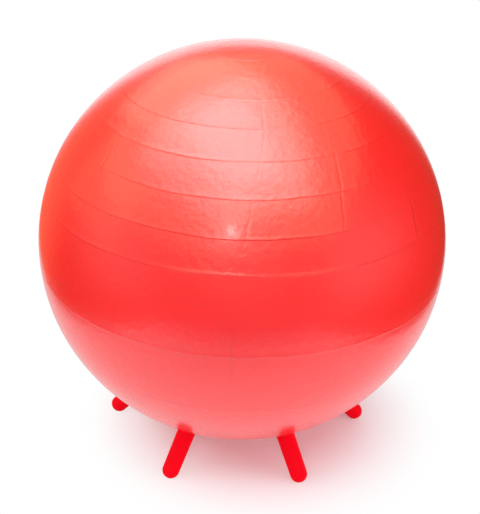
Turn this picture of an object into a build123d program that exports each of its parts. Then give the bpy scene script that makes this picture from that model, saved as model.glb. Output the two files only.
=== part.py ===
from build123d import *
import os
from math import atan2, cos, degrees, hypot, radians, sin, sqrt

# Sitting ball: an air-filled vinyl ball that stands on six short legs moulded round its underside.
# Millimetres, +Z up. The origin is on the floor under the middle of the ball, and the front is -Y.

# Ball, pumped up to its rated size
BALL_DIAMETER = 550.0
BALL_HEIGHT = 540.0
SKIN_WALL = 1.1
GROUND_GAP = 22.0

# Raised rings on the skin, as latitudes in degrees above the equator
RING_LATITUDES = (81.0, 72.5, 64.0, 55.0, 46.0, 36.5, 27.0, 18.0, -3.5, -24.0)
RING_WIDTH = 3.2
RING_HEIGHT = 0.45

# Legs, named as the front view shows them, with their turn in degrees from the front
LEG_TURNS = {
    "leg_front_left": -30.0,
    "leg_front_right": 30.0,
    "leg_right": 90.0,
    "leg_rear_right": 150.0,
    "leg_rear_left": -150.0,
    "leg_left": -90.0,
}
FOOT_CIRCLE_DIAMETER = 350.0
LEG_LEAN = 44.0
LEG_TIP_DIAMETER = 23.5
LEG_ROOT_DIAMETER = 25.0
LEG_ROOT_BLEND = 8.0
LEG_BLEND_SINK = 0.4
LEG_SINK = 20.0
FOOT_FLAT_DEPTH = 0.5

# Air valve at the bottom pole: a thick collar welded into the skin, and the stopper pushed into it
COLLAR_DIAMETER = 26.0
COLLAR_LENGTH = 20.0
COLLAR_FLANGE_DIAMETER = 46.0
COLLAR_FLANGE_HEIGHT = 2.5
VALVE_BORE = 9.2
PLUG_HEAD_DIAMETER = 16.0
PLUG_HEAD_THICKNESS = 2.4
PLUG_HEAD_INSET = 0.4
PLUG_HEAD_DOME = 0.5
PLUG_STEM_DIAMETER = 7.6
PLUG_STEM_LENGTH = 15.0
PLUG_TIP_DIAMETER = 5.0
PLUG_RIB_COUNT = 3
PLUG_RIB_LENGTH = 2.2
PLUG_RIB_PITCH = 3.6
PLUG_RIB_START = 2.4
STEM_CLEARANCE = 0.05
HEAD_CLEARANCE = 0.3
SEAT_CLEARANCE = 0.05

BALL_CENTRE = GROUND_GAP + BALL_HEIGHT / 2
SKIN_BOTTOM = GROUND_GAP
POLE = 90.0


def meridian_point(latitude, proud=0.0):
    """Radius and height of a point on the ball's meridian, moved out of the surface by proud."""
    half_width = BALL_DIAMETER / 2
    half_height = BALL_HEIGHT / 2
    side = 1 if latitude >= 0 else -1
    from_pole = radians(POLE - abs(latitude))
    out = sin(from_pole) / half_width
    up = side * cos(from_pole) / half_height
    length = hypot(out, up)
    radius = half_width * sin(from_pole) + proud * out / length
    height = side * half_height * cos(from_pole) + proud * up / length
    return radius, BALL_CENTRE + height


def zone_sphere(start, end):
    """Height of the centre, and the radius, of the sphere on the ball's axis through two points."""
    (r1, z1), (r2, z2) = start, end
    centre = (r1**2 + z1**2 - r2**2 - z2**2) / (2 * (z1 - z2))
    return centre, hypot(r1, z1 - centre)


def profile_point(point):
    """A point of a profile, drawn in the XZ plane."""
    return Vector(point[0], 0, point[1])


def zone_arc(start, end):
    """The meridian of one band of the ball: an arc between two points, centred on the ball's axis."""
    centre, radius = zone_sphere(start, end)
    first = atan2(start[1] - centre, start[0])
    last = atan2(end[1] - centre, end[0])
    turn = (first + last) / 2
    middle = (radius * cos(turn), centre + radius * sin(turn))
    return ThreePointArc(profile_point(start), profile_point(middle), profile_point(end))


def ring_half_span():
    """Degrees of latitude from the middle of a ring to its edge."""
    return degrees(RING_WIDTH / BALL_DIAMETER)


def outer_meridian():
    """The outside of the skin from the bottom pole to the top one: plain bands between raised rings."""
    edges = []
    band_start = meridian_point(-POLE)
    for latitude in sorted(RING_LATITUDES):
        ring_start = meridian_point(latitude - ring_half_span())
        ring_crest = meridian_point(latitude, RING_HEIGHT)
        ring_end = meridian_point(latitude + ring_half_span())
        edges.append(zone_arc(band_start, ring_start))
        edges.append(ThreePointArc(*[profile_point(p) for p in (ring_start, ring_crest, ring_end)]))
        band_start = ring_end
    edges.append(zone_arc(band_start, meridian_point(POLE)))
    return edges


def inner_meridian():
    """The inside of the skin, one wall inwards, without the rings."""
    ring_edges = [latitude - ring_half_span() for latitude in sorted(RING_LATITUDES)]
    points = [meridian_point(latitude, -SKIN_WALL) for latitude in (-POLE, *ring_edges, POLE)]
    return [zone_arc(start, end) for start, end in zip(points, points[1:])]


def underside(proud=0.0):
    """Centre height and radius of the sphere that the skin is part of, below its lowest ring."""
    top_edge = min(RING_LATITUDES) - ring_half_span()
    return zone_sphere(meridian_point(-POLE, proud), meridian_point(top_edge, proud))


def upright_sphere(centre, radius):
    """A sphere on the ball's axis."""
    return Pos(0, 0, centre) * Sphere(radius)


def upright_cylinder(diameter, bottom, top):
    """A cylinder on the ball's axis between two heights."""
    height = top - bottom
    return Pos(0, 0, bottom + height / 2) * Cylinder(diameter / 2, height)


def ball_skin():
    """The hollow skin: a thin ringed shell, with a round hole for the valve at its bottom pole."""
    outer, inner = outer_meridian(), inner_meridian()
    walls = [Line(inner[0] @ 0, outer[0] @ 0), Line(outer[-1] @ 1, inner[-1] @ 1)]
    shell = revolve(make_face([*outer, *inner, *walls]), Axis.Z)
    return shell - upright_cylinder(COLLAR_DIAMETER, 0, SKIN_BOTTOM + COLLAR_LENGTH)


def leg_axis():
    """Middle of the foot's round end, direction of the leg up into the ball, and length to the skin."""
    centre, radius = underside()
    foot = Vector(0, -FOOT_CIRCLE_DIAMETER / 2, LEG_TIP_DIAMETER / 2 - FOOT_FLAT_DEPTH)
    upward = Vector(0, sin(radians(LEG_LEAN)), cos(radians(LEG_LEAN)))
    offset = foot - Vector(0, 0, centre)
    along = upward.dot(offset)
    length = -along - sqrt(along**2 - offset.dot(offset) + radius**2)
    return foot, upward, length


def leg_rod(length):
    """A tapered round bar with a ball end, standing on its own Z axis, long enough to enter the ball."""
    tip, root = LEG_TIP_DIAMETER / 2, LEG_ROOT_DIAMETER / 2
    taper = (root - tip) / length
    top = length + LEG_SINK
    top_radius = tip + taper * top
    corner = Vector(top_radius, 0, top)
    end = ThreePointArc((0, 0, -tip), (tip * sin(radians(45)), 0, -tip * cos(radians(45))), (tip, 0, 0))
    side = Line(end @ 1, corner)
    cap = Line(corner, (0, 0, top))
    core = Line((0, 0, top), end @ 0)
    return revolve(make_face([end, side, cap, core]), Axis.Z)


def front_leg():
    """One leg at the very front: its root spreads into the skin in a round blend and seats on it."""
    foot, upward, length = leg_axis()
    centre, radius = underside()
    rod = Plane(origin=foot, x_dir=(1, 0, 0), z_dir=upward) * leg_rod(length)
    joined = rod + upright_sphere(centre, radius - LEG_BLEND_SINK)
    root_edges = joined.edges().filter_by(GeomType.LINE, reverse=True)
    root_edge = root_edges.sort_by_distance(foot + upward * length)[0]
    blended = fillet(root_edge, LEG_ROOT_BLEND)
    return split(blended - upright_sphere(centre, radius), Plane.XY, keep=Keep.TOP)


def valve_collar():
    """The thick collar: a neck through the skin, a flange inside it, the bore and the head's recess."""
    top = SKIN_BOTTOM + COLLAR_LENGTH
    flange_top = SKIN_BOTTOM + SKIN_WALL + COLLAR_FLANGE_HEIGHT
    neck = upright_cylinder(COLLAR_DIAMETER, 0, top) & upright_sphere(*underside())
    flange = upright_cylinder(COLLAR_FLANGE_DIAMETER, 0, flange_top) & upright_sphere(*underside(-SKIN_WALL))
    recess_floor = SKIN_BOTTOM + PLUG_HEAD_INSET + PLUG_HEAD_THICKNESS + SEAT_CLEARANCE
    recess = upright_cylinder(PLUG_HEAD_DIAMETER + 2 * HEAD_CLEARANCE, 0, recess_floor)
    return neck + flange - recess - upright_cylinder(VALVE_BORE, 0, top)


def valve_plug():
    """The stopper: a thin round head, and a stem whose barbed ribs fill the bore."""
    rib = VALVE_BORE / 2 - STEM_CLEARANCE
    stem, tip, head = PLUG_STEM_DIAMETER / 2, PLUG_TIP_DIAMETER / 2, PLUG_HEAD_DIAMETER / 2
    face = SKIN_BOTTOM + PLUG_HEAD_INSET
    shoulder = face + PLUG_HEAD_THICKNESS
    end = shoulder + PLUG_STEM_LENGTH
    outline = [(head, shoulder), (stem, shoulder)]
    for index in range(PLUG_RIB_COUNT):
        low = shoulder + PLUG_RIB_START + index * PLUG_RIB_PITCH
        outline += [(stem, low), (rib, low), (stem, low + PLUG_RIB_LENGTH)]
    outline += [(stem, end - (stem - tip)), (tip, end), (0, end), (0, face)]
    dome = ThreePointArc(
        profile_point((0, face)),
        profile_point((head / 2, face + PLUG_HEAD_DOME / 4)),
        profile_point((head, face + PLUG_HEAD_DOME)),
    )
    sides = Polyline([dome @ 1, *[profile_point(p) for p in outline]])
    return revolve(make_face([dome, sides]), Axis.Z)


os.makedirs("parts", exist_ok=True)
export_step(ball_skin(), "parts/ball_skin.step")
export_step(valve_collar(), "parts/valve_collar.step")
export_step(valve_plug(), "parts/valve_plug.step")
leg = front_leg()
for name, turn in LEG_TURNS.items():
    export_step(leg.rotate(Axis.Z, turn), f"parts/{name}.step")
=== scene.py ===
from math import atan, cos, degrees, pi, radians, sin, tau

import bpy
import numpy as np
from mathutils import Matrix, Vector


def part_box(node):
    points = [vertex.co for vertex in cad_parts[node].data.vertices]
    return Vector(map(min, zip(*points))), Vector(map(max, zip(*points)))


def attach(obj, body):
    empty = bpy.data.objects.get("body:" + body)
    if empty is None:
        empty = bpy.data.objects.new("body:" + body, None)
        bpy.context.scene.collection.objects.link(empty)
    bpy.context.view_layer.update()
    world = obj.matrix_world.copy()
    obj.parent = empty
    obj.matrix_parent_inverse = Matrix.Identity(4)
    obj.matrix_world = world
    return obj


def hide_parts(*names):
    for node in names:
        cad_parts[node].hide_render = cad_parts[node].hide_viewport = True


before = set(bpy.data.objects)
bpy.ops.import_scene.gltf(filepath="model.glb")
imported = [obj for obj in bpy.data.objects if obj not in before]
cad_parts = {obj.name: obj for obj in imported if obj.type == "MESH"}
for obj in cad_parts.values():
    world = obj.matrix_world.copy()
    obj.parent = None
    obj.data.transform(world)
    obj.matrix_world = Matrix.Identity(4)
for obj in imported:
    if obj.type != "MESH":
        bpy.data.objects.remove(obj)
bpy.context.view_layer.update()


# Camera: stands in front of the ball, a little above it, where the photographer stood.
# Focal length, distance and tilt were fitted to the ball's outline, its rings and its feet.
PHOTO_WIDTH, PHOTO_HEIGHT = 480, 514
SENSOR_WIDTH_MM = 36.0
FOCAL_PIXELS = 1089.0
CAMERA_DISTANCE = 1.496
CAMERA_ELEVATION = radians(26.66)
CAMERA_ROLL = radians(1.81)
BALL_CENTRE_PIXEL = (242.1, 239.0)
BALL_HALF_WIDTH = 0.275
BALL_HALF_HEIGHT = 0.270
BALL_CENTRE = Vector((0, 0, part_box("ball_skin")[1].z - BALL_HALF_HEIGHT))

camera_data = bpy.data.cameras.new("photo_camera")
camera_data.sensor_width = SENSOR_WIDTH_MM
camera_data.lens = SENSOR_WIDTH_MM * FOCAL_PIXELS / max(PHOTO_WIDTH, PHOTO_HEIGHT)
camera = bpy.data.objects.new("photo_camera", camera_data)
bpy.context.scene.collection.objects.link(camera)
camera_back = Vector((0, -cos(CAMERA_ELEVATION), sin(CAMERA_ELEVATION)))
camera_tilt = atan((BALL_CENTRE_PIXEL[1] - PHOTO_HEIGHT / 2) / FOCAL_PIXELS)
camera_pan = atan((BALL_CENTRE_PIXEL[0] - PHOTO_WIDTH / 2) / FOCAL_PIXELS)
camera.matrix_world = (
    Matrix.Translation(BALL_CENTRE + camera_back * CAMERA_DISTANCE)
    @ Matrix.Rotation(pi / 2 - CAMERA_ELEVATION, 4, "X")
    @ Matrix.Rotation(CAMERA_ROLL, 4, "Z")
    @ Matrix.Rotation(camera_tilt, 4, "X")
    @ Matrix.Rotation(camera_pan, 4, "Y")
)
bpy.context.scene.camera = camera


# Ball skin: one hollow shell of soft vinyl, turned in a hot mould and pumped hard with air.
# The mould leaves low raised rings, fainter at the sides. Upright folds, from when the ball lay flat
# in its box, still show in some bands.
SKIN_WALL = 0.0011
# each ring: its angle above the equator, in degrees, its height as a share of RING_HEIGHT, and how much
# shade is painted into the creases under it
RINGS = (
    (-24.0, 0.45, 0.25),
    (-3.5, 0.7, 0.4),
    (18.0, 1.9, 0.35),
    (27.0, 1.1, 0.6),
    (36.5, 1.0, 0.55),
    (46.0, 1.1, 0.6),
    (55.0, 1.3, 0.75),
    (64.0, 1.3, 0.75),
    (72.5, 0.25, 0.15),
    (81.0, 0.8, 0.45),
)
RING_HEIGHT = 0.00042
RING_LIP = 0.0014
RING_SLOPE = 0.0050
RING_SHADE_MIDDLE = 0.6
# rows of the mesh across a ring, measured up the skin from its crest
RING_ROWS = (
    -0.0016, -0.0014, -0.0011, -0.0008, -0.0005, -0.0002,
    0.0, 0.0007, 0.0015, 0.0025, 0.0037, 0.0050,
)
RING_EVENNESS = 0.75
RING_WANDER = radians(0.14)
RING_SIDE_SHARE = 0.2
BAND_STEP = 1.6
POLE_ANGLE = 89.6
VALVE_HOLE_RADIUS = 0.013
INSIDE_ROW_STEP = 4

# each fold: its turn from the front at the equator, its lean at the top of its run, in degrees,
# and the stretches where it shows, each from a lower to an upper angle and with its strength
FOLDS = (
    (-165.0, 4.0, ((-20.0, 6.0, 0.5), (20.0, 44.0, 0.5))),
    (-138.0, -5.0, ((24.0, 50.0, 0.7),)),
    (-108.0, 3.0, ((-14.0, 4.0, 0.4), (28.0, 46.0, 0.6))),
    (-78.0, -4.0, ((18.0, 40.0, 0.5),)),
    (-46.0, -9.0, ((25.0, 47.0, 0.75),)),
    (-24.0, 3.0, ((-18.0, -4.0, 0.3), (46.0, 60.0, 0.3))),
    (-1.5, 9.5, ((-14.0, 6.0, 0.45), (26.5, 37.0, 0.55), (39.0, 66.0, 0.6))),
    (26.0, 10.0, ((-20.0, 5.0, 0.45), (24.0, 50.0, 1.15))),
    (54.0, 8.0, ((17.0, 33.0, 1.4),)),
    (83.0, 4.0, ((-12.0, 8.0, 0.4), (26.0, 48.0, 0.6))),
    (112.0, -4.0, ((20.0, 46.0, 0.6),)),
    (142.0, 6.0, ((-22.0, 2.0, 0.4), (30.0, 52.0, 0.5))),
)
FOLD_LEAN_ANGLE = 54.0
FOLD_SHOULDER_HEIGHT = 0.0004
FOLD_SHOULDER_REACH = 0.018
FOLD_GROOVE_DEPTH = 0.00032
FOLD_GROOVE_REACH = 0.0019
FOLD_WANDER = radians(0.18)
FOLD_STEPS = (0.0, 0.14, 0.28, 0.44, 0.64, 0.9, 1.3, 2.0, 3.2)
FOLD_GAP_STEPS = 13
SWELL_HEIGHT = 0.00012

BALL_RED = (0.91, 0.0040, 0.0065, 1)
BALL_RED_DEEP = (0.85, 0.0030, 0.0055, 1)
# painted shade: a darker red laid into the creases under the rings and along the folds' grooves, where
# little light gets in
CREASE_SHADE_RED = (0.42, 0.004, 0.005, 1)
FOLD_GROOVE_SHADE_SHARE = 0.28
BALL_ROUGHNESS = 0.30
BALL_COAT_IOR = 1.35
BALL_COAT_ROUGHNESS = 0.15
BALL_COAT_RANGE = (0.2, 1.1)
BALL_SPECKLE_RANGE = (0.38, 0.62)
BALL_IOR = 1.65
BALL_SPECULAR = 0.9
BALL_SHEEN = 0.12
BALL_SHEEN_ROUGHNESS = 0.35
BALL_SHEEN_RED = (1.0, 0.02, 0.02, 1)
BALL_GRAIN = {"Grain Size": 0.0016, "Dimple Size": 0.009, "Dimple Share": 4.5, "Cloud Size": 0.12}
BALL_GRAIN_DEPTH = 0.00014

# smooth field on the lower front, left plain by the mould: turns from the front and angles, in degrees
FIELD_TURNS = (-36.4, -5.3)
FIELD_ANGLES = (-0.7, 9.9)
FIELD_EDGE = radians(0.5)
FIELD_RED = (0.91, 0.001, 0.004, 1)
FIELD_DEPTH = 0.7


def link_mesh(name, verts, faces, smooth=True):
    """A new mesh object from points and faces, linked to the scene."""
    mesh = bpy.data.meshes.new(name)
    mesh.from_pydata(verts, [], faces)
    mesh.polygons.foreach_set("use_smooth", [smooth] * len(mesh.polygons))
    mesh.update()
    piece = bpy.data.objects.new(name, mesh)
    bpy.context.scene.collection.objects.link(piece)
    return piece


def grid_faces(rows, columns):
    """Quads between the rows of a closed band of points, counted row by row."""
    index = np.arange(rows * columns).reshape(rows, columns)
    after = np.roll(index, -1, axis=1)
    return np.stack([index[:-1], after[:-1], after[1:], index[1:]], -1).reshape(-1, 4).tolist()


def ball_points(angle, turn, proud):
    """Points at an angle above the equator and a turn from the front, in radians, proud of the ball."""
    out = np.stack([np.sin(turn) * np.cos(angle), -np.cos(turn) * np.cos(angle), np.sin(angle)], -1)
    half = np.array([BALL_HALF_WIDTH, BALL_HALF_WIDTH, BALL_HALF_HEIGHT])
    normal = out / half
    normal /= np.linalg.norm(normal, axis=-1, keepdims=True)
    return np.array(BALL_CENTRE) + out * half + normal * np.asarray(proud)[..., None]


def ring_clearness(turn, index):
    """How clearly a ring shows at a turn: uneven on the way round, and fainter at the sides."""
    waves = np.sin(3 * turn + 1.7 * index) * np.sin(7 * turn + 0.9 * index)
    uneven = RING_EVENNESS + (1 - RING_EVENNESS) * waves
    return uneven * (RING_SIDE_SHARE + (1 - RING_SIDE_SHARE) * np.cos(turn) ** 2)


def ring_relief(angle, turn):
    """Height of the rings: a sharp lower lip and a gentle slope above it."""
    relief = np.zeros_like(angle)
    for index, (ring, height, _) in enumerate(RINGS):
        above = (angle - np.radians(ring)) * BALL_HALF_WIDTH
        lip = np.clip(1 + above / RING_LIP, 0, 1)
        slope = np.clip(1 - above / RING_SLOPE, 0, 1)
        shape = lip * lip * (3 - 2 * lip) * slope * slope * (3 - 2 * slope)
        relief += RING_HEIGHT * height * ring_clearness(turn, index) * shape
    return relief


def ring_crease_shade(angle, turn):
    """How much shade is painted at each point in the creases under the rings, where the light hardly
    comes.
    """
    crease_shade = np.zeros_like(angle)
    for index, (ring, _, painted_shade) in enumerate(RINGS):
        above = (angle - np.radians(ring)) * BALL_HALF_WIDTH
        depth = np.clip(1 - np.abs(above / RING_LIP / RING_SHADE_MIDDLE + 1), 0, 1)
        crease_shade += painted_shade * ring_clearness(turn, index) * depth
    return crease_shade


def ring_wander(angle, turn):
    """Small wavering of the rings up and down, as the soft skin has stretched."""
    waves = np.sin(5 * turn + 9 * angle) + 0.7 * np.sin(11 * turn - 14 * angle)
    ripples = 0.4 * np.sin(23 * turn + 31 * angle)
    return RING_WANDER * (waves + ripples) * np.cos(angle) ** 2


def fold_turns(angle):
    """Turn of every fold at an angle above the equator, both in radians."""
    rise = np.clip(np.degrees(angle) / FOLD_LEAN_ANGLE, 0, 1) ** 2
    turns = np.radians([turn + lean * rise for turn, lean, _ in FOLDS])
    phase = np.arange(len(FOLDS))
    waves = np.sin(37 * angle + 2 * phase) + 0.6 * np.sin(83 * angle + 5 * phase)
    return turns + FOLD_WANDER * waves


def fold_relief(angle, turn):
    """Height of the folds, and the depth of their grooves by itself.

    A fold is a low rounded shoulder with a fine groove along its crest, fading where it ends."""
    relief, grooves = np.zeros_like(angle), np.zeros_like(angle)
    for fold, (_, _, stretches) in enumerate(FOLDS):
        centre = np.array([fold_turns(row)[fold] for row in angle[:, 0]])[:, None]
        across = ((turn - centre + pi) % tau - pi) * np.cos(angle) * BALL_HALF_WIDTH
        strength = np.zeros_like(angle)
        for low, high, amount in stretches:
            along = np.clip((np.degrees(angle) - low) / (high - low), 0, 1)
            strength += amount * np.sqrt(np.sin(pi * along).clip(0))
        shoulder = FOLD_SHOULDER_HEIGHT * np.exp(-np.abs(across) / FOLD_SHOULDER_REACH)
        groove = FOLD_GROOVE_DEPTH * np.exp(-((across / FOLD_GROOVE_REACH) ** 2))
        relief += strength * (shoulder - groove)
        grooves += strength * groove
    return relief, grooves


def swell_relief(angle, turn):
    """Broad, shallow swells that keep the skin from being a perfect ball."""
    broad = np.sin(3 * turn + 2 * angle) * np.sin(5 * angle + 1)
    narrow = np.sin(7 * turn - 4 * angle) * np.cos(8 * angle)
    return SWELL_HEIGHT * (broad + narrow) * np.cos(angle)


def skin_angles():
    """Angles above the equator for the rows of the skin: close on the rings and wider between them."""
    ring_rows = np.degrees(np.array(RING_ROWS) / BALL_HALF_WIDTH)
    start = -degrees(np.arccos(VALVE_HOLE_RADIUS / BALL_HALF_WIDTH))
    rows = []
    for ring, _, _ in RINGS:
        foot = ring + ring_rows[0]
        rows.extend(np.linspace(start, foot, max(2, round((foot - start) / BAND_STEP)), endpoint=False))
        rows.extend(ring + ring_rows[:-1])
        start = ring + ring_rows[-1]
    rows.extend(np.linspace(start, POLE_ANGLE, round((POLE_ANGLE - start) / BAND_STEP)))
    return np.radians(rows)


def skin_turns(angle):
    """Turns of the skin's columns at one angle: close beside each fold and wider between them."""
    folds = fold_turns(angle)
    steps = np.radians(FOLD_STEPS)
    turns = []
    for fold, after in zip(folds, np.append(folds[1:], folds[0] + tau)):
        ends = fold + steps[-1], after - steps[-1]
        middle = np.linspace(*ends, FOLD_GAP_STEPS + 1, endpoint=False)[1:]
        turns.extend([*(fold + steps), *middle, *(after - steps[:0:-1])])
    return turns


def skin_mesh():
    """The skin as a closed shell: relief outside, plain inside, and joined round the valve hole.

    Gives its points and faces, and how much shade is painted at each point in the creases."""
    angles = skin_angles()
    turn = np.array([skin_turns(row) for row in angles])
    angle = np.repeat(angles[:, None], turn.shape[1], axis=1)
    folds, grooves = fold_relief(angle, turn)
    relief = ring_relief(angle, turn) + folds + swell_relief(angle, turn)
    outside = ball_points(angle + ring_wander(angle, turn), turn, relief)
    # painted shade for the creases under the rings and along the folds' grooves
    crease_shade = ring_crease_shade(angle, turn) + FOLD_GROOVE_SHADE_SHARE * grooves / FOLD_GROOVE_DEPTH
    inside_rows = [*range(0, len(angles) - 1, INSIDE_ROW_STEP), len(angles) - 1]
    inside_turn = turn[inside_rows]
    inside = ball_points(angle[inside_rows], inside_turn, np.full(inside_turn.shape, -SKIN_WALL))
    shell = np.concatenate([inside[::-1], outside])
    rows, columns = shell.shape[:2]
    verts = shell.reshape(-1, 3).tolist()
    faces = grid_faces(rows, columns)
    last = (rows - 1) * columns
    inner_pole, outer_pole = len(verts), len(verts) + 1
    verts.append(shell[0].mean(axis=0).tolist())
    verts.append(shell[-1].mean(axis=0).tolist())
    for column in range(columns):
        after = (column + 1) % columns
        faces.append((after, column, inner_pole))
        faces.append((last + column, last + after, outer_pole))
    crease_shades = np.zeros(len(verts))
    crease_shades[inside.shape[0] * columns : rows * columns] = crease_shade.ravel()
    return verts, faces, crease_shades.clip(0, 1)


def math_node(nodes, links, operation, *values):
    """One math node, fed by sockets or by plain numbers, and its result."""
    node = nodes.new("ShaderNodeMath")
    node.operation = operation
    for socket, value in zip(node.inputs, values):
        if isinstance(value, (int, float)):
            socket.default_value = value
        else:
            links.new(value, socket)
    return node.outputs[0]


GRAIN_DETAIL = 2.0
GLOSS_SPREAD = 0.02


def vinyl_grain_group():
    """Surface of cast vinyl: fine pebbling and soft dimples for the bump, and slow clouds of tone."""
    group = bpy.data.node_groups.new("vinyl_grain", "ShaderNodeTree")
    sizes = (("Grain Size", 0.001), ("Dimple Size", 0.01), ("Cloud Size", 0.1))
    for name, size in sizes:
        socket = group.interface.new_socket(name, in_out="INPUT", socket_type="NodeSocketFloat")
        socket.default_value = size
    share = group.interface.new_socket("Dimple Share", in_out="INPUT", socket_type="NodeSocketFloat")
    share.default_value = 0.5
    group.interface.new_socket("Height", in_out="OUTPUT", socket_type="NodeSocketFloat")
    group.interface.new_socket("Grain", in_out="OUTPUT", socket_type="NodeSocketFloat")
    group.interface.new_socket("Cloud", in_out="OUTPUT", socket_type="NodeSocketFloat")
    nodes, links = group.nodes, group.links
    given = nodes.new("NodeGroupInput")
    result = nodes.new("NodeGroupOutput")
    place = nodes.new("ShaderNodeTexCoord")
    noises = {}
    for name, _ in sizes:
        noise = nodes.new("ShaderNodeTexNoise")
        noise.inputs["Detail"].default_value = GRAIN_DETAIL
        links.new(place.outputs["Object"], noise.inputs["Vector"])
        links.new(math_node(nodes, links, "DIVIDE", 1.0, given.outputs[name]), noise.inputs["Scale"])
        noises[name] = noise.outputs["Fac"]
    dimples = math_node(nodes, links, "MULTIPLY", noises["Dimple Size"], given.outputs["Dimple Share"])
    links.new(math_node(nodes, links, "ADD", noises["Grain Size"], dimples), result.inputs["Height"])
    links.new(noises["Grain Size"], result.inputs["Grain"])
    links.new(noises["Cloud Size"], result.inputs["Cloud"])
    return group


VINYL_GRAIN = vinyl_grain_group()


def vinyl_material(name, tones, roughness, grain_depth, grain):
    """Moulded vinyl: two close tones clouded into each other, a grained surface and a soft gloss."""
    material = bpy.data.materials.new(name)
    material.use_nodes = True
    nodes, links = material.node_tree.nodes, material.node_tree.links
    shader = nodes["Principled BSDF"]
    surface = nodes.new("ShaderNodeGroup")
    surface.node_tree = VINYL_GRAIN
    surface.name = "grain"
    for socket, value in grain.items():
        surface.inputs[socket].default_value = value
    tone = nodes.new("ShaderNodeMix")
    tone.name = "tone"
    tone.data_type = "RGBA"
    tone.inputs["A"].default_value, tone.inputs["B"].default_value = tones
    links.new(surface.outputs["Cloud"], tone.inputs["Factor"])
    links.new(tone.outputs["Result"], shader.inputs["Base Color"])
    gloss = nodes.new("ShaderNodeMapRange")
    gloss.inputs["To Min"].default_value = roughness - GLOSS_SPREAD
    gloss.inputs["To Max"].default_value = roughness + GLOSS_SPREAD
    links.new(surface.outputs["Cloud"], gloss.inputs["Value"])
    links.new(gloss.outputs["Result"], shader.inputs["Roughness"])
    bump = nodes.new("ShaderNodeBump")
    bump.inputs["Distance"].default_value = grain_depth
    links.new(surface.outputs["Height"], bump.inputs["Height"])
    links.new(bump.outputs["Normal"], shader.inputs["Normal"])
    return material


def field_mask(nodes, links):
    """One on the smooth field, worked out from the turn and the height of each point of the ball."""
    place = nodes.new("ShaderNodeTexCoord")
    axes = nodes.new("ShaderNodeSeparateXYZ")
    links.new(place.outputs["Object"], axes.inputs[0])
    front = math_node(nodes, links, "MULTIPLY", axes.outputs["Y"], -1.0)
    turn = math_node(nodes, links, "ARCTAN2", axes.outputs["X"], front)
    height = math_node(nodes, links, "SUBTRACT", axes.outputs["Z"], BALL_CENTRE.z)
    rise = math_node(nodes, links, "DIVIDE", height, BALL_HALF_HEIGHT)
    angle = math_node(nodes, links, "ARCSINE", rise)
    inside = []
    for value, limits in ((turn, FIELD_TURNS), (angle, FIELD_ANGLES)):
        middle, half = radians(sum(limits) / 2), radians(limits[1] - limits[0]) / 2
        off = math_node(nodes, links, "ABSOLUTE", math_node(nodes, links, "SUBTRACT", value, middle))
        edge = nodes.new("ShaderNodeMapRange")
        edge.interpolation_type = "SMOOTHSTEP"
        edge.inputs["From Min"].default_value = half + FIELD_EDGE
        edge.inputs["From Max"].default_value = half - FIELD_EDGE
        links.new(off, edge.inputs["Value"])
        inside.append(edge.outputs["Result"])
    return math_node(nodes, links, "MULTIPLY", *inside)


def ball_material():
    """The ball's vinyl: grained and speckled with gloss, deeper red on the field, and painted shade
    darkening the creases.
    """
    tones = BALL_RED_DEEP, BALL_RED
    material = vinyl_material("ball_vinyl", tones, BALL_ROUGHNESS, BALL_GRAIN_DEPTH, BALL_GRAIN)
    nodes, links = material.node_tree.nodes, material.node_tree.links
    shader = nodes["Principled BSDF"]
    shader.inputs["IOR"].default_value = BALL_IOR
    shader.inputs["Specular IOR Level"].default_value = BALL_SPECULAR
    shader.inputs["Coat Roughness"].default_value = BALL_COAT_ROUGHNESS
    shader.inputs["Coat IOR"].default_value = BALL_COAT_IOR
    shader.inputs["Sheen Weight"].default_value = BALL_SHEEN
    shader.inputs["Sheen Roughness"].default_value = BALL_SHEEN_ROUGHNESS
    shader.inputs["Sheen Tint"].default_value = BALL_SHEEN_RED
    speckle = nodes.new("ShaderNodeMapRange")
    for ends, limits in (("From", BALL_SPECKLE_RANGE), ("To", BALL_COAT_RANGE)):
        speckle.inputs[f"{ends} Min"].default_value, speckle.inputs[f"{ends} Max"].default_value = limits
    links.new(nodes["grain"].outputs["Grain"], speckle.inputs["Value"])
    links.new(speckle.outputs["Result"], shader.inputs["Coat Weight"])
    mask = field_mask(nodes, links)
    deeper = nodes.new("ShaderNodeMix")
    deeper.data_type = "RGBA"
    deeper.inputs["B"].default_value = FIELD_RED
    links.new(math_node(nodes, links, "MULTIPLY", mask, FIELD_DEPTH), deeper.inputs["Factor"])
    links.new(nodes["tone"].outputs["Result"], deeper.inputs["A"])
    # painted shade in the creases, read from the skin's points
    crease_shade = nodes.new("ShaderNodeAttribute")
    crease_shade.attribute_name = "crease_shade"
    shade_mix = nodes.new("ShaderNodeMix")
    shade_mix.data_type = "RGBA"
    shade_mix.inputs["B"].default_value = CREASE_SHADE_RED
    links.new(crease_shade.outputs["Fac"], shade_mix.inputs["Factor"])
    links.new(deeper.outputs["Result"], shade_mix.inputs["A"])
    links.new(shade_mix.outputs["Result"], shader.inputs["Base Color"])
    return material


skin_verts, skin_faces, skin_crease_shades = skin_mesh()
ball = link_mesh("ball", skin_verts, skin_faces)
# the painted crease shade is kept on the skin's points
ball.data.attributes.new("crease_shade", "FLOAT", "POINT").data.foreach_set("value", skin_crease_shades)
ball.data.materials.append(ball_material())
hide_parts("ball_skin")
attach(ball, "ball")


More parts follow.
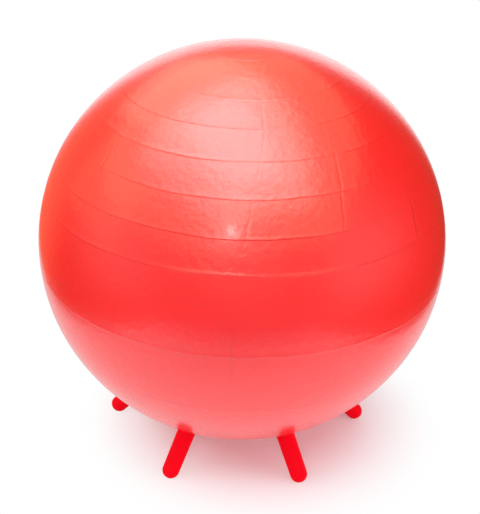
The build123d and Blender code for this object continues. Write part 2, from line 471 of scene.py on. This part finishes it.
# Legs: six short stubs of solid vinyl, moulded onto the ball and leaning outwards.
# They are smoother and duller than the ball. Their round ends press flat on the floor, and their
# roots flow into the skin.
LEG_TURNS = {
    "front_left": -30,
    "front_right": 30,
    "right": 90,
    "rear_right": 150,
    "rear_left": -150,
    "left": -90,
}
FOOT_CIRCLE_RADIUS = 0.175
LEG_LEAN = radians(44)
LEG_TIP_RADIUS = 0.01175
LEG_ROOT_RADIUS = 0.0125
LEG_ROOT_BLEND = 0.008
LEG_SINK = 0.0005
FOOT_FLAT_DEPTH = 0.0005
LEG_SIDES = 48
LEG_TIP_ROWS = 12
LEG_SHAFT_ROWS = 10
LEG_BLEND_ROWS = 8
LEG_RED = (0.86, 0.0004, 0.011, 1)
LEG_RED_DEEP = (0.79, 0.0003, 0.009, 1)
LEG_ROUGHNESS = 0.55
LEG_SPECULAR = 0.05
LEG_GRAIN = {"Grain Size": 0.0009, "Dimple Size": 0.005, "Dimple Share": 0.5, "Cloud Size": 0.025}
LEG_GRAIN_DEPTH = 0.00003


def onto_ball(points, sunk=0.0):
    """Points moved straight towards the middle of the ball until they lie on it, or sunk into it."""
    half = np.array([BALL_HALF_WIDTH, BALL_HALF_WIDTH, BALL_HALF_HEIGHT])
    offset = points - np.array(BALL_CENTRE)
    reach = np.linalg.norm(offset / half, axis=-1, keepdims=True)
    length = np.linalg.norm(offset, axis=-1, keepdims=True)
    return np.array(BALL_CENTRE) + offset / reach - offset / length * sunk


def way_to_ball(start, way):
    """Distance from each start, along a way, to the outside of the ball."""
    half = np.array([BALL_HALF_WIDTH, BALL_HALF_WIDTH, BALL_HALF_HEIGHT])
    from_centre, step = (start - np.array(BALL_CENTRE)) / half, way / half
    a = (step * step).sum(-1)
    b = (from_centre * step).sum(-1)
    c = (from_centre * from_centre).sum(-1) - 1
    return (-b - np.sqrt(b * b - a * c)) / a


def bend(start, corner, end, share):
    """A point on the smooth bend from start to end round a corner."""
    return (1 - share) ** 2 * start + 2 * share * (1 - share) * corner + share**2 * end


def leg_mesh(turn):
    """One leg: a round end, a slightly tapered shaft and a root that spreads over the skin."""
    outward = np.array([sin(turn), -cos(turn), 0.0])
    side = np.array([cos(turn), sin(turn), 0.0])
    foot = outward * FOOT_CIRCLE_RADIUS + np.array([0, 0, LEG_TIP_RADIUS - FOOT_FLAT_DEPTH])
    up = -outward * sin(LEG_LEAN) + np.array([0, 0, cos(LEG_LEAN)])
    across = np.cross(up, side)
    spin = np.linspace(0, tau, LEG_SIDES, endpoint=False)[:, None]
    spoke = np.cos(spin) * side + np.sin(spin) * across
    rows = []
    for step in np.linspace(0, pi / 2, LEG_TIP_ROWS + 1)[1:]:
        rows.append(foot + LEG_TIP_RADIUS * (sin(step) * spoke - cos(step) * up))
    shaft_length = way_to_ball(foot + LEG_ROOT_RADIUS * spoke, up)[:, None]
    for share in np.linspace(0, 1, LEG_SHAFT_ROWS + 1)[1:]:
        radius = LEG_TIP_RADIUS + (LEG_ROOT_RADIUS - LEG_TIP_RADIUS) * share
        rows.append(foot + radius * spoke + up * (shaft_length - LEG_ROOT_BLEND) * share)
    blend_foot = rows[-1]
    corner = foot + LEG_ROOT_RADIUS * spoke + up * shaft_length
    rim = onto_ball(corner + spoke * LEG_ROOT_BLEND, LEG_SINK)
    for share in np.linspace(0, 1, LEG_BLEND_ROWS + 1)[1:]:
        rows.append(bend(blend_foot, corner, rim, share))
    shell = np.array(rows)
    shell[..., 2] = np.maximum(shell[..., 2], 0)
    verts = shell.reshape(-1, 3).tolist()
    faces = grid_faces(len(rows), LEG_SIDES)
    tip, last = len(verts), (len(rows) - 1) * LEG_SIDES
    point = foot - up * LEG_TIP_RADIUS
    verts.append((point[0], point[1], max(point[2], 0)))
    for column in range(LEG_SIDES):
        faces.append(((column + 1) % LEG_SIDES, column, tip))
    faces.append(tuple(range(last, last + LEG_SIDES)))
    return verts, faces


leg_tones = LEG_RED_DEEP, LEG_RED
leg_vinyl = vinyl_material("leg_vinyl", leg_tones, LEG_ROUGHNESS, LEG_GRAIN_DEPTH, LEG_GRAIN)
leg_vinyl.node_tree.nodes["Principled BSDF"].inputs["Specular IOR Level"].default_value = LEG_SPECULAR
for place, turn in LEG_TURNS.items():
    leg = link_mesh(f"{place}_leg", *leg_mesh(radians(turn)))
    leg.data.materials.append(leg_vinyl)
    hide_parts(f"leg_{place}")
    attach(leg, "ball")


# Valve collar: a thick soft ring welded into the hole at the bottom of the skin.
# A lip of weld runs round it, and its bore and recess hold the stopper.
COLLAR_RADIUS = 0.013
COLLAR_FLANGE_RADIUS = 0.023
COLLAR_FLANGE_HEIGHT = 0.0025
COLLAR_LENGTH = 0.020
COLLAR_RECESS_RADIUS = 0.0083
COLLAR_RECESS_DEPTH = 0.00285
COLLAR_BORE_RADIUS = 0.0046
COLLAR_EDGE = 0.0005
COLLAR_SIDES = 64
EDGE_REACH = 0.45
EDGE_STEPS = 3
skin_bottom = BALL_CENTRE.z - BALL_HALF_HEIGHT


def turned_mesh(profile, sides):
    """A closed profile of radius and height, turned about the ball's axis."""
    spin = np.linspace(0, tau, sides, endpoint=False)
    radius, height = np.array(profile).T
    across = np.outer(radius, np.cos(spin)), np.outer(radius, np.sin(spin))
    ring = np.stack([*across, np.outer(height, np.ones(sides))], -1)
    shell = np.concatenate([ring, ring[:1]])
    faces = grid_faces(len(shell), sides)
    count = len(profile) * sides
    return ring.reshape(-1, 3).tolist(), [tuple(index % count for index in face) for face in faces]


def rounded(corners, edge):
    """A closed outline with each corner cut back by edge and rounded."""
    outline = []
    for before, corner, after in zip([corners[-1], *corners], corners, [*corners[1:], corners[0]]):
        corner = np.array(corner)
        cuts = []
        for way in (np.array(before) - corner, np.array(after) - corner):
            cuts.append(corner + way * min(EDGE_REACH, edge / np.linalg.norm(way)))
        for share in np.linspace(0, 1, EDGE_STEPS + 1):
            outline.append(bend(cuts[0], corner, cuts[1], share))
    return outline


collar_bottom = skin_bottom + COLLAR_RADIUS**2 / (2 * BALL_HALF_WIDTH)
flange_bottom = collar_bottom + SKIN_WALL
collar_profile = rounded(
    [
        (COLLAR_RADIUS, collar_bottom),
        (COLLAR_RADIUS, flange_bottom),
        (COLLAR_FLANGE_RADIUS, flange_bottom + COLLAR_FLANGE_RADIUS**2 / (2 * BALL_HALF_WIDTH)),
        (COLLAR_FLANGE_RADIUS, flange_bottom + COLLAR_FLANGE_HEIGHT),
        (COLLAR_RADIUS, flange_bottom + COLLAR_FLANGE_HEIGHT),
        (COLLAR_RADIUS, skin_bottom + COLLAR_LENGTH),
        (COLLAR_BORE_RADIUS, skin_bottom + COLLAR_LENGTH),
        (COLLAR_BORE_RADIUS, skin_bottom + COLLAR_RECESS_DEPTH),
        (COLLAR_RECESS_RADIUS, skin_bottom + COLLAR_RECESS_DEPTH),
        (COLLAR_RECESS_RADIUS, skin_bottom),
    ],
    COLLAR_EDGE,
)
collar = link_mesh("collar", *turned_mesh(collar_profile, COLLAR_SIDES))
collar.data.materials.append(leg_vinyl)
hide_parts("valve_collar")
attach(collar, "ball")


# Stopper: a small pale plug of hard moulded plastic, with a round head and a ribbed stem.
# It is pushed into the collar's bore and holds there by its ribs.
PLUG_WHITE = (0.80, 0.79, 0.75, 1)
PLUG_WHITE_DEEP = (0.74, 0.73, 0.69, 1)
PLUG_ROUGHNESS = 0.4
PLUG_GRAIN = {"Grain Size": 0.0006, "Dimple Size": 0.003, "Dimple Share": 0.5, "Cloud Size": 0.008}
PLUG_GRAIN_DEPTH = 0.00002
plug_tones = PLUG_WHITE_DEEP, PLUG_WHITE
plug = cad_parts["valve_plug"]
plug.data.materials.clear()
plug.data.materials.append(
    vinyl_material("plug_plastic", plug_tones, PLUG_ROUGHNESS, PLUG_GRAIN_DEPTH, PLUG_GRAIN)
)


# Floor: a sheet of white studio paper that takes the soft shadow of the ball.
# Away from the ball it turns to even white for the eye, so that no edge of it shows.
PAPER_LOW = (-0.55, -1.15)
PAPER_HIGH = (0.53, 3.2)
# painted bounce light: a faint pink in the paper's white makes its shadow as pink as red light thrown off
# the ball would
PAPER_WHITE_PAINTED_BOUNCE = (0.97, 0.91, 0.97, 1)
PAPER_GLOSS = 0.85
PAPER_GLOSS_FRONT = (-1.10, -0.30)
PAPER_SHADE_CENTRE = (0.036, 0.0, 0.0)
PAPER_FADE = (0.085, 0.274)
paper = link_mesh(
    "paper",
    [
        (PAPER_LOW[0], PAPER_LOW[1], 0),
        (PAPER_HIGH[0], PAPER_LOW[1], 0),
        (PAPER_HIGH[0], PAPER_HIGH[1], 0),
        (PAPER_LOW[0], PAPER_HIGH[1], 0),
    ],
    [(0, 1, 2, 3)],
    smooth=False,
)


def backdrop_rays(nodes, links):
    """Rays that show a background: to the camera first, then off a gloss or through something clear."""
    path = nodes.new("ShaderNodeLightPath")
    kinds = path.outputs["Is Glossy Ray"], path.outputs["Is Transmission Ray"]
    return path.outputs["Is Camera Ray"], math_node(nodes, links, "MAXIMUM", *kinds)


def paper_material():
    """White paper, tinted faintly pink as painted bounce light, with its shadow, fading to plain white
    away from the ball, and clear from below.
    """
    material = bpy.data.materials.new("white_paper")
    material.use_nodes = True
    nodes, links = material.node_tree.nodes, material.node_tree.links
    shader = nodes["Principled BSDF"]
    shader.inputs["Base Color"].default_value = PAPER_WHITE_PAINTED_BOUNCE
    shader.inputs["Roughness"].default_value = 1.0
    shader.inputs["Specular IOR Level"].default_value = 0.0
    place = nodes.new("ShaderNodeTexCoord")
    reach = nodes.new("ShaderNodeVectorMath")
    reach.operation = "DISTANCE"
    reach.inputs[1].default_value = PAPER_SHADE_CENTRE
    links.new(place.outputs["Object"], reach.inputs[0])
    fade = nodes.new("ShaderNodeMapRange")
    fade.interpolation_type = "SMOOTHSTEP"
    fade.inputs["From Min"].default_value, fade.inputs["From Max"].default_value = PAPER_FADE
    links.new(reach.outputs["Value"], fade.inputs["Value"])
    seen, mirrored = backdrop_rays(nodes, links)
    shown = math_node(nodes, links, "MAXIMUM", seen, mirrored)
    white = nodes.new("ShaderNodeEmission")
    axes = nodes.new("ShaderNodeSeparateXYZ")
    links.new(place.outputs["Object"], axes.inputs[0])
    front = nodes.new("ShaderNodeMapRange")
    front.interpolation_type = "SMOOTHSTEP"
    front.inputs["From Min"].default_value, front.inputs["From Max"].default_value = PAPER_GLOSS_FRONT
    front.inputs["To Max"].default_value = PAPER_GLOSS
    links.new(axes.outputs["Y"], front.inputs["Value"])
    brightness = math_node(nodes, links, "MAXIMUM", seen, front.outputs["Result"])
    links.new(brightness, white.inputs["Strength"])
    mix = nodes.new("ShaderNodeMixShader")
    links.new(math_node(nodes, links, "MULTIPLY", fade.outputs["Result"], shown), mix.inputs["Fac"])
    links.new(shader.outputs["BSDF"], mix.inputs[1])
    links.new(white.outputs["Emission"], mix.inputs[2])
    side = nodes.new("ShaderNodeNewGeometry")
    clear = nodes.new("ShaderNodeBsdfTransparent")
    sheet = nodes.new("ShaderNodeMixShader")
    links.new(side.outputs["Backfacing"], sheet.inputs["Fac"])
    links.new(mix.outputs["Shader"], sheet.inputs[1])
    links.new(clear.outputs["BSDF"], sheet.inputs[2])
    links.new(sheet.outputs["Shader"], nodes["Material Output"].inputs["Surface"])
    return material


paper.data.materials.append(paper_material())


# Light: a large soft bank overhead, a warm card on the left, a small bare lamp beside the camera, and
# fills all round. Of the bank only the middle lights the ball: its outer layers just show in the gloss.
# The room is dim, with a white sweep behind the ball and a warm wall above it.
ROOM_LIGHT = 0.36
ROOM_GLOSS = 0.32
ROOM_WARM = (1.0, 0.21, 0.11, 1)
WALL_WAY = (-0.5, 0.85, 0.15)
WALL_EDGE = (0.55, 0.95)
WALL_GLOSS = 1.35
SWEEP_EDGE = (0.42, 0.18)
SWEEP_SIDE = (0.84, 0.96)
SWEEP_GLOSS = 1.35
# the bank's layers, from the bright core outwards: reach along X and Y, height, brightness and colour
BANK_LAYERS = {
    "core": ((-0.67, 0.10), (-0.92, 0.39), 1.72, 1.55, (0.75, 0.87, 1.0)),
    "inner": ((-1.55, 0.44), (-1.40, 0.77), 1.76, 1.22, (0.97, 0.98, 1.0)),
    "back": ((-1.04, 0.64), (-1.90, 3.10), 1.80, 0.9, (1.0, 0.93, 0.72)),
    "edge": ((-3.80, 1.82), (-3.60, 2.10), 1.84, 0.8, (1.0, 0.88, 0.5)),
}
BANK_LIT = ("core", "inner")
BANK_TURN = radians(28.5)
CARD_PLACE = (-1.7, 0.0, 0.95)
CARD_SIZE = (1.5, 1.1)
CARD_RADIANCE = 0.45
CARD_COLOUR = (1.0, 0.70, 0.36)
GLINT_PLACE = (-0.16, -1.35, 1.15)
GLINT_SIZE = (0.055, 0.055)
GLINT_RADIANCE = 90.0
# fills, which aren't mirrored in the ball: place and brightness
FILLS = {
    "left": ((-1.9, -0.8, 0.5), 1.9),
    "right": ((1.9, -0.8, 0.5), 2.8),
    "front": ((0.0, -2.1, 0.8), 1.1),
    "rear": ((0.0, 2.1, 0.8), 1.1),
}
FILL_SIZE = (2.0, 1.4)


def area_lamp(name, location, aim, size, radiance, colour=(1, 1, 1), turn=0.0):
    """A flat lamp of an even brightness, turned to face its aim and then about its own axis."""
    data = bpy.data.lights.new(name, "AREA")
    data.shape = "RECTANGLE"
    data.size, data.size_y = size
    data.energy = radiance * pi * size[0] * size[1]
    data.color = colour
    lamp = bpy.data.objects.new(name, data)
    bpy.context.scene.collection.objects.link(lamp)
    facing = (Vector(aim) - Vector(location)).to_track_quat("-Z", "Y").to_matrix().to_4x4()
    lamp.matrix_world = Matrix.Translation(location) @ facing @ Matrix.Rotation(turn, 4, "Z")
    lamp.visible_camera = False
    return lamp


for layer, (along_x, along_y, height, radiance, colour) in BANK_LAYERS.items():
    middle = Matrix.Rotation(BANK_TURN, 4, "Z") @ Vector((sum(along_x) / 2, sum(along_y) / 2, height))
    size = (along_x[1] - along_x[0], along_y[1] - along_y[0])
    below = middle.x, middle.y, 0
    lamp = area_lamp(f"overhead_{layer}", middle, below, size, radiance, colour, BANK_TURN)
    lamp.visible_diffuse = layer in BANK_LIT
area_lamp("left_card", CARD_PLACE, BALL_CENTRE, CARD_SIZE, CARD_RADIANCE, CARD_COLOUR)
area_lamp("camera_lamp", GLINT_PLACE, BALL_CENTRE, GLINT_SIZE, GLINT_RADIANCE)
for name, (place, radiance) in FILLS.items():
    fill = area_lamp(f"{name}_fill", place, BALL_CENTRE, FILL_SIZE, radiance)
    fill.visible_glossy = False

world = bpy.data.worlds.new("room")
world.use_nodes = True
bpy.context.scene.world = world
room_nodes, room_links = world.node_tree.nodes, world.node_tree.links


def room_step(value, limits):
    """A smooth step from nothing to one between two values."""
    step = room_nodes.new("ShaderNodeMapRange")
    step.interpolation_type = "SMOOTHSTEP"
    step.inputs["From Min"].default_value, step.inputs["From Max"].default_value = limits
    room_links.new(value, step.inputs["Value"])
    return step.outputs["Result"]


def room_math(operation, *values):
    """One math node of the room."""
    return math_node(room_nodes, room_links, operation, *values)


room_place = room_nodes.new("ShaderNodeTexCoord")
room_axes = room_nodes.new("ShaderNodeSeparateXYZ")
room_links.new(room_place.outputs["Generated"], room_axes.inputs[0])
wall_side = room_nodes.new("ShaderNodeVectorMath")
wall_side.operation = "DOT_PRODUCT"
wall_side.inputs[1].default_value = Vector(WALL_WAY).normalized()
room_links.new(room_place.outputs["Generated"], wall_side.inputs[0])
room_seen, room_mirrored = backdrop_rays(room_nodes, room_links)
sweep_height = room_step(room_axes.outputs["Z"], SWEEP_EDGE)
sweep = room_math("MULTIPLY", sweep_height, room_step(room_axes.outputs["Y"], SWEEP_SIDE))
beside_sweep = room_math("SUBTRACT", 1.0, sweep)
wall = room_math("MULTIPLY", room_step(wall_side.outputs["Value"], WALL_EDGE), WALL_GLOSS)
wall = room_math("MULTIPLY", wall, beside_sweep)
bright_sweep = room_math("MULTIPLY", sweep, SWEEP_GLOSS)
gloss = room_math("MAXIMUM", room_math("MAXIMUM", wall, ROOM_GLOSS), bright_sweep)
light = room_math("SUBTRACT", 1.0, room_mirrored)
lit = room_math("MULTIPLY", light, ROOM_LIGHT)
strength = room_math("ADD", lit, room_math("MULTIPLY", room_mirrored, gloss))
room = room_nodes["Background"]
room_links.new(room_math("MAXIMUM", strength, room_seen), room.inputs["Strength"])
warmth = room_nodes.new("ShaderNodeMix")
warmth.data_type = "RGBA"
warmth.inputs["A"].default_value, warmth.inputs["B"].default_value = (1, 1, 1, 1), ROOM_WARM
room_links.new(room_math("MULTIPLY", room_mirrored, beside_sweep), warmth.inputs["Factor"])
room_links.new(warmth.outputs["Result"], room.inputs["Color"])

bpy.context.scene.view_settings.view_transform = "Standard"
